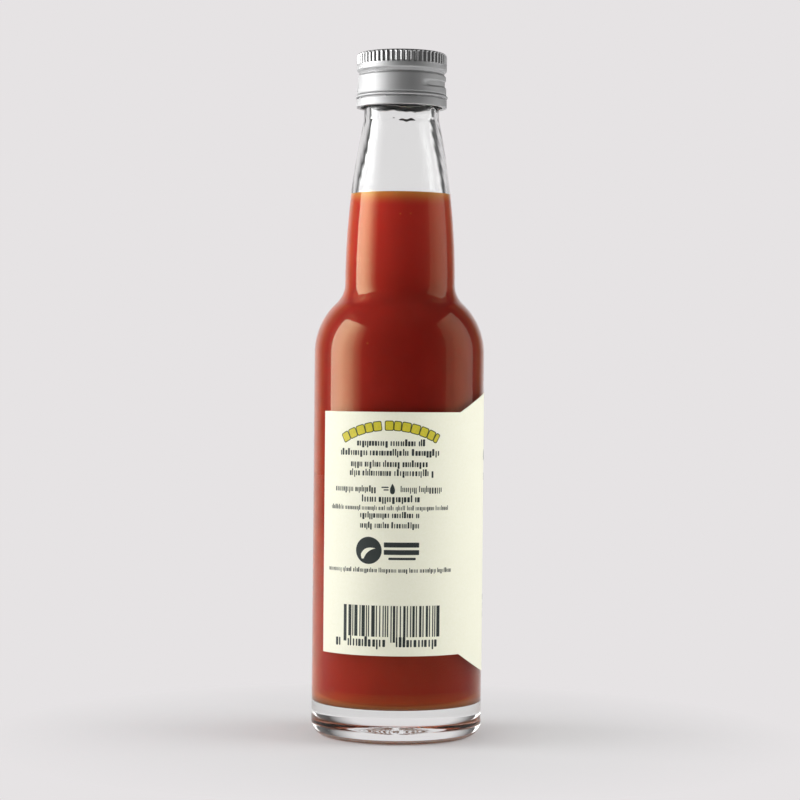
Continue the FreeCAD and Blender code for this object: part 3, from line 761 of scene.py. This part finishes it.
BARS_LEFT, BARS_RIGHT, BARS_TOP, BARS_FOOT, GUARD_FOOT = -13.4, 10.6, 33.0, 25.7, 24.4
bars = random.Random(11)
x = BARS_LEFT
while x < BARS_RIGHT:
    wide = bars.choice([0.28, 0.28, 0.56, 0.84])
    foot = BARS_FOOT if x > -12.9 and abs(x + 1.3) > 0.4 and x < 10.0 else GUARD_FOOT
    dark.append(block(x, foot, wide, BARS_TOP - foot, 0.01, 0, 1))
    x += wide + bars.choice([0.26, 0.26, 0.52])
dark += word_row(-15.8, -14.2, 24.2, 1.9, 61, 0.5)
dark += word_row(-12.2, -2.2, 24.2, 1.7, 62, 0.5)
dark += word_row(-0.2, 9.6, 24.2, 1.7, 63, 0.5)
print(f"small print: {len(dark)} shapes")

# %% [markdown]
# ## Headline and front panel
#
# The headline stands on an arch, so each block is placed by its angle on a circle and leans with it. The front
# panel is turned to the side, and it gets a few generic shapes of its own.

# %% Headline arch and front panel
outline_blocks, yellow_blocks = [], []
ARCH_MIDDLE, ARCH_RADIUS = (-2.1, 51.7), 23.5
widths = [1.7, 1.8, 1.95, 1.7, 1.8, 0.0, 1.8, 1.5, 1.9, 1.9, 1.7, 1.5, 0.8]
gap = 0.34
total = sum(widths) + gap * (len(widths) - 1) + 0.5
run = -total / 2
for width in widths:
    if width == 0.0:
        run += 0.7
        continue
    angle = (run + width / 2) / ARCH_RADIUS
    cx = ARCH_MIDDLE[0] + ARCH_RADIUS * math.sin(angle)
    cy = ARCH_MIDDLE[1] + ARCH_RADIUS * math.cos(angle)
    lean = -math.degrees(angle)
    outline_blocks.append(block(cx - width / 2 - 0.18, cy - 1.2, width + 0.36, 2.4, 0.4, lean))
    yellow_blocks.append(block(cx - width / 2 + 0.02, cy - 0.98, width - 0.04, 1.96, 0.3, lean))
    run += width + gap

panel_middle = math.radians(PANEL_FACING) * body_radius
dark.append(pepper(panel_middle, 67.6, 8.8, 0.1))
front_rows = [(62.5, 7.0, 1.3), (33.5, 7.0, 1.0), (31.4, 6.0, 1.0), (29.3, 6.6, 1.0)]
for number, (middle, width, height) in enumerate(front_rows):
    dark += word_row(panel_middle - width / 2, panel_middle + width / 2, middle, height, 80 + number, 0.8)
red = [pepper(panel_middle + 4.5, 45.5, 18.0, 0.16, 78.0)]
print(f"headline: {len(yellow_blocks)} blocks")

# %% [markdown]
# ## Ink
#
# Printing ink lies thin on rough paper, so it is never one flat colour. Every ink is the same small material:
# a fine mottle between a darker and a lighter version of its colour. The headline has an olive outline with
# yellow on top of it, and the pepper in the disc is bare paper.

# %% Ink pieces
def ink(name, colour):
    """A mottled printing ink."""
    material, nodes, links, shader = new_material(name)
    place = add_node(nodes, "ShaderNodeNewGeometry")
    mottle = add_node(nodes, "ShaderNodeTexNoise", Scale=2600.0, Detail=2.0)
    links.new(place.outputs["Position"], mottle.inputs["Vector"])
    ramp = nodes.new("ShaderNodeValToRGB")
    ramp.color_ramp.elements[0].color = (*[c * 0.8 for c in colour], 1)
    ramp.color_ramp.elements[1].color = (*[c * 1.2 for c in colour], 1)
    links.new(mottle.outputs["Fac"], ramp.inputs["Fac"])
    links.new(ramp.outputs["Color"], shader.inputs["Base Color"])
    shader.inputs["Roughness"].default_value = 0.5
    return material


dark_print = wrap_print("small_print", dark, INK_RADIUS)
dark_print.data.materials.append(ink("dark_ink", (0.022, 0.03, 0.028)))
headline_edge = wrap_print("headline_outline", outline_blocks, INK_RADIUS)
headline_edge.data.materials.append(ink("olive_ink", (0.07, 0.085, 0.01)))
headline = wrap_print("headline_blocks", yellow_blocks, INK_RADIUS, OVERPRINT)
headline.data.materials.append(ink("yellow_ink", (0.66, 0.57, 0.03)))
disc_shape = pepper(-6.9, 45.2, 4.2, 0.2, 35.0)
disc_motif = wrap_print("disc_pepper", [disc_shape], INK_RADIUS, OVERPRINT)
disc_motif.data.materials.append(paper_material)
front_pepper = wrap_print("front_pepper", red, INK_RADIUS)
front_pepper.data.materials.append(ink("red_ink", (0.45, 0.03, 0.015)))

# %% [markdown]
# ## The floor
#
# Glass shows its surroundings more than itself, so the set matters as much as the bottle. The floor is a wide
# pale disc. Near the bottle it is a real surface that takes the shadow, and with distance it fades into the
# colour of the backdrop. Only rays from the camera, rays through glass and reflections of what lies behind
# the bottle see that colour, so the floor doesn't act as a lamp.

# %% Floor
BACKDROP = (0.791, 0.768, 0.776)


def round_floor():
    """A flat disc that belongs to the set and not to the bottle."""
    bm = bmesh.new()
    bmesh.ops.create_circle(bm, cap_ends=True, segments=96, radius=1.6)
    mesh = bpy.data.meshes.new("studio_floor")
    bm.to_mesh(mesh)
    bm.free()
    obj = bpy.data.objects.new("studio_floor", mesh)
    bpy.context.scene.collection.objects.link(obj)
    return obj


floor = round_floor()
floor_material, nodes, links, shader = new_material("studio_floor")
shader.inputs["Base Color"].default_value = (0.88, 0.885, 0.893, 1)
shader.inputs["Roughness"].default_value = 0.9
shader.inputs["Specular IOR Level"].default_value = 0.1
glow = add_node(nodes, "ShaderNodeEmission", Color=(*BACKDROP, 1), Strength=1.0)
place = add_node(nodes, "ShaderNodeNewGeometry")
far = add_node(nodes, "ShaderNodeVectorMath", operation="LENGTH")
links.new(place.outputs["Position"], far.inputs[0])
fade = add_node(nodes, "ShaderNodeMapRange", From_Min=0.02, From_Max=0.1, To_Min=0.25, To_Max=1.0)
links.new(far.outputs["Value"], fade.inputs["Value"])
path = add_node(nodes, "ShaderNodeLightPath")
outward = add_node(nodes, "ShaderNodeVectorMath", operation="NORMALIZE")
links.new(place.outputs["Position"], outward.inputs[0])
side = add_node(nodes, "ShaderNodeSeparateXYZ")
links.new(outward.outputs["Vector"], side.inputs[0])
behind = add_node(nodes, "ShaderNodeMapRange", From_Min=0.5, From_Max=0.9)
links.new(side.outputs["Y"], behind.inputs["Value"])
mirrored = add_node(nodes, "ShaderNodeMath", operation="MULTIPLY")
links.new(behind.outputs[0], mirrored.inputs[0])
links.new(path.outputs["Is Glossy Ray"], mirrored.inputs[1])
seen = add_node(nodes, "ShaderNodeMath", operation="MAXIMUM")
links.new(path.outputs["Is Camera Ray"], seen.inputs[0])
links.new(mirrored.outputs[0], seen.inputs[1])
seen_too = add_node(nodes, "ShaderNodeMath", operation="MAXIMUM")
links.new(seen.outputs[0], seen_too.inputs[0])
links.new(path.outputs["Is Transmission Ray"], seen_too.inputs[1])
share = add_node(nodes, "ShaderNodeMath", operation="MULTIPLY")
links.new(fade.outputs[0], share.inputs[0])
links.new(seen_too.outputs[0], share.inputs[1])
mix = add_node(nodes, "ShaderNodeMixShader")
links.new(share.outputs[0], mix.inputs[0])
links.new(shader.outputs[0], mix.inputs[1])
links.new(glow.outputs[0], mix.inputs[2])
links.new(mix.outputs[0], nodes["Material Output"].inputs["Surface"])
floor.data.materials.append(floor_material)
print(f"floor: {floor.dimensions.x:.1f} m across")

# %% [markdown]
# ## The room
#
# The camera sees an even, pale backdrop. Reflections see a dim room instead, with that backdrop only behind
# the bottle: it draws the bright rims, and the dark sides keep the sauce deep and the cap's middle dark. On
# the right the backdrop starts a little later. A view from behind looks through the empty neck towards the
# camera's side, so rays that have only passed through glass find the pale colour there too.

# %% World
world = bpy.data.worlds.new("studio_room")
bpy.context.scene.world = world
world.use_nodes = True
nodes, links = world.node_tree.nodes, world.node_tree.links
background = nodes["Background"]
direction = add_node(nodes, "ShaderNodeTexCoord")
split = add_node(nodes, "ShaderNodeSeparateXYZ")
links.new(direction.outputs["Generated"], split.inputs[0])
right_part = add_node(nodes, "ShaderNodeMath", operation="MAXIMUM")
right_part.inputs[1].default_value = 0.0
links.new(split.outputs["X"], right_part.inputs[0])
right_less = add_node(nodes, "ShaderNodeMath", operation="MULTIPLY_ADD")
right_less.inputs[1].default_value = -0.2
links.new(right_part.outputs[0], right_less.inputs[0])
links.new(split.outputs["Y"], right_less.inputs[2])
behind = add_node(nodes, "ShaderNodeMapRange", From_Min=0.62, From_Max=0.86)
links.new(right_less.outputs[0], behind.inputs["Value"])
room = add_node(nodes, "ShaderNodeMix", data_type="RGBA")
room.inputs[7].default_value = (*BACKDROP, 1)
links.new(behind.outputs[0], room.inputs[0])
above = add_node(nodes, "ShaderNodeMapRange", From_Min=0.4, From_Max=0.8, To_Min=0.0, To_Max=0.07)
links.new(split.outputs["Z"], above.inputs["Value"])
across = add_node(nodes, "ShaderNodeMapRange", From_Min=-1.0, From_Max=1.0)
links.new(split.outputs["X"], across.inputs["Value"])
aside = nodes.new("ShaderNodeValToRGB")
# How bright the room is, from left (-1) to right (1).
SIDES = [(-1.0, 0.1), (-0.6, 0.1), (0.0, 0.05), (0.45, 0.035), (0.72, 0.07), (0.92, 0.16)]
marks = aside.color_ramp.elements
for number, (x, share) in enumerate(SIDES):
    mark = marks[number] if number < 2 else marks.new((x + 1) / 2)
    mark.position = (x + 1) / 2
    mark.color = (share, share, share, 1)
links.new(across.outputs[0], aside.inputs["Fac"])
level = add_node(nodes, "ShaderNodeMath", operation="MAXIMUM")
links.new(above.outputs[0], level.inputs[0])
links.new(aside.outputs[0], level.inputs[1])
links.new(level.outputs[0], room.inputs[6])
path = add_node(nodes, "ShaderNodeLightPath")
pale = add_node(nodes, "ShaderNodeMix", data_type="RGBA")
pale.inputs[7].default_value = (*BACKDROP, 1)
facing_lens = add_node(nodes, "ShaderNodeMapRange", From_Min=-0.6, From_Max=-0.85)
links.new(split.outputs["Y"], facing_lens.inputs["Value"])
bounces = add_node(nodes, "ShaderNodeMath", operation="ADD")
links.new(path.outputs["Diffuse Depth"], bounces.inputs[0])
links.new(path.outputs["Glossy Depth"], bounces.inputs[1])
only_glass = add_node(nodes, "ShaderNodeMath", operation="SUBTRACT", use_clamp=True)
links.new(path.outputs["Is Transmission Ray"], only_glass.inputs[0])
links.new(bounces.outputs[0], only_glass.inputs[1])
through = add_node(nodes, "ShaderNodeMath", operation="MULTIPLY")
links.new(facing_lens.outputs[0], through.inputs[0])
links.new(only_glass.outputs[0], through.inputs[1])
shown = add_node(nodes, "ShaderNodeMath", operation="MAXIMUM")
links.new(path.outputs["Is Camera Ray"], shown.inputs[0])
links.new(through.outputs[0], shown.inputs[1])
links.new(shown.outputs[0], pale.inputs[0])
links.new(room.outputs[2], pale.inputs[6])
links.new(pale.outputs[2], background.inputs["Color"])
background.inputs["Strength"].default_value = 1.0
print(f"room: {len(nodes)} nodes")

# %% [markdown]
# ## The lamps
#
# Two tall soft lamps draw the long highlights down the glass: a strong one on the left that fades towards the
# camera, and a weak one on the right. They alone would leave the paper patchy, so fill lamps that no
# reflection shows even it out. Two more fills reach only what is behind glass, and bring the sauce up at both
# sides.

# %% Lamps
LAMP_DISTANCE, TALL, HALF_WAY_UP = 0.6, 0.7, 0.36


def soft_lamp(name, start, stop, height, middle, glow, stops, distance=LAMP_DISTANCE):
    """A tall soft lamp between two bearings, in degrees from the camera's side and positive to the right.

    stops lists (bearing, share of the full glow), for a lamp that is brighter at one side."""
    half = math.radians(abs(stop - start) / 2)
    angle = math.radians((start + stop) / 2)
    width = 2 * distance * math.tan(half)
    data = bpy.data.lights.new(name, "AREA")
    data.shape = "RECTANGLE"
    data.size, data.size_y = width, height
    data.energy = glow * math.pi * width * height
    data.use_nodes = True
    nodes, links = data.node_tree.nodes, data.node_tree.links
    spot = add_node(nodes, "ShaderNodeNewGeometry")
    split = add_node(nodes, "ShaderNodeSeparateXYZ")
    links.new(spot.outputs["Parametric"], split.inputs[0])
    ramp = nodes.new("ShaderNodeValToRGB")
    marks = ramp.color_ramp.elements
    for number, (bearing, level) in enumerate(stops):
        place = 0.5 + math.tan(math.radians(bearing) - angle) * distance / width
        mark = marks[number] if number < 2 else marks.new(place)
        mark.position = place
        mark.color = (level, level, level, 1)
    links.new(split.outputs["X"], ramp.inputs["Fac"])
    links.new(ramp.outputs["Color"], nodes["Emission"].inputs["Color"])
    lamp = bpy.data.objects.new(name, data)
    lamp.location = (distance * math.sin(angle), -distance * math.cos(angle), middle)
    aim = Vector((0, 0, middle)) - lamp.location
    lamp.rotation_euler = aim.to_track_quat("-Z", "Y").to_euler()
    bpy.context.scene.collection.objects.link(lamp)
    print(f"{name}: {width:.2f} m wide")
    return lamp


def fill_lamp(name, start, stop, glow, stops, on_sauce=False):
    """A soft lamp that no reflection shows, for paper and floor or for the sauce behind the glass."""
    lamp = soft_lamp(name, start, stop, TALL, HALF_WAY_UP, glow, stops)
    lamp.visible_glossy = False
    lamp.visible_diffuse = not on_sauce
    lamp.visible_transmission = on_sauce
    return lamp


soft_lamp("left_lamp", -104, -50, 0.6, 0.31, 5.0, [(-104, 1), (-84, 1), (-72, 0.75), (-60, 0.22), (-50, 0)])
soft_lamp("right_lamp", 65, 117, TALL, HALF_WAY_UP, 0.75, [(65, 0.5), (78, 0.6), (94, 0.85), (117, 1)])
fill_lamp("right_fill", 60, 105, 2.9, [(60, 0.8), (75, 1.1), (90, 1), (105, 0.6)])
fill_lamp("front_left_fill", -50, -20, 0.95, [(-50, 1), (-20, 1)])
fill_lamp("front_right_fill", 10, 40, 0.85, [(10, 1), (40, 1)])
fill_lamp("sauce_right_fill", 85, 120, 1.2, [(85, 1), (120, 1)], on_sauce=True)
fill_lamp("sauce_left_fill", -120, -85, 3.3, [(-120, 1), (-85, 1)], on_sauce=True)

# %% [markdown]
# ## The camera
#
# A small product is shot from a low stand with a long lens, so that its sides stay nearly parallel. The lens
# looks a touch downwards from half the bottle's height, and so the foot shows as a shallow curve.

# %% Camera
CAMERA_HEIGHT, CAMERA_DISTANCE, CAMERA_ASIDE = 0.0859, 0.5818, 0.00022
LOOK_DOWN, ROLL = 0.477, -0.53
camera_data = bpy.data.cameras.new("camera")
camera_data.lens = 108
camera_data.sensor_width = 36
camera_data.clip_start = 0.01
camera = bpy.data.objects.new("camera", camera_data)
camera.location = (CAMERA_ASIDE, -CAMERA_DISTANCE, CAMERA_HEIGHT)
camera.rotation_euler = Euler((math.radians(90 - LOOK_DOWN), math.radians(ROLL), 0), "XYZ")
bpy.context.scene.collection.objects.link(camera)
bpy.context.scene.camera = camera
bpy.context.scene.view_settings.view_transform = "Standard"
print(f"camera: {camera_data.lens:.0f} mm lens, {CAMERA_DISTANCE:.2f} m away")
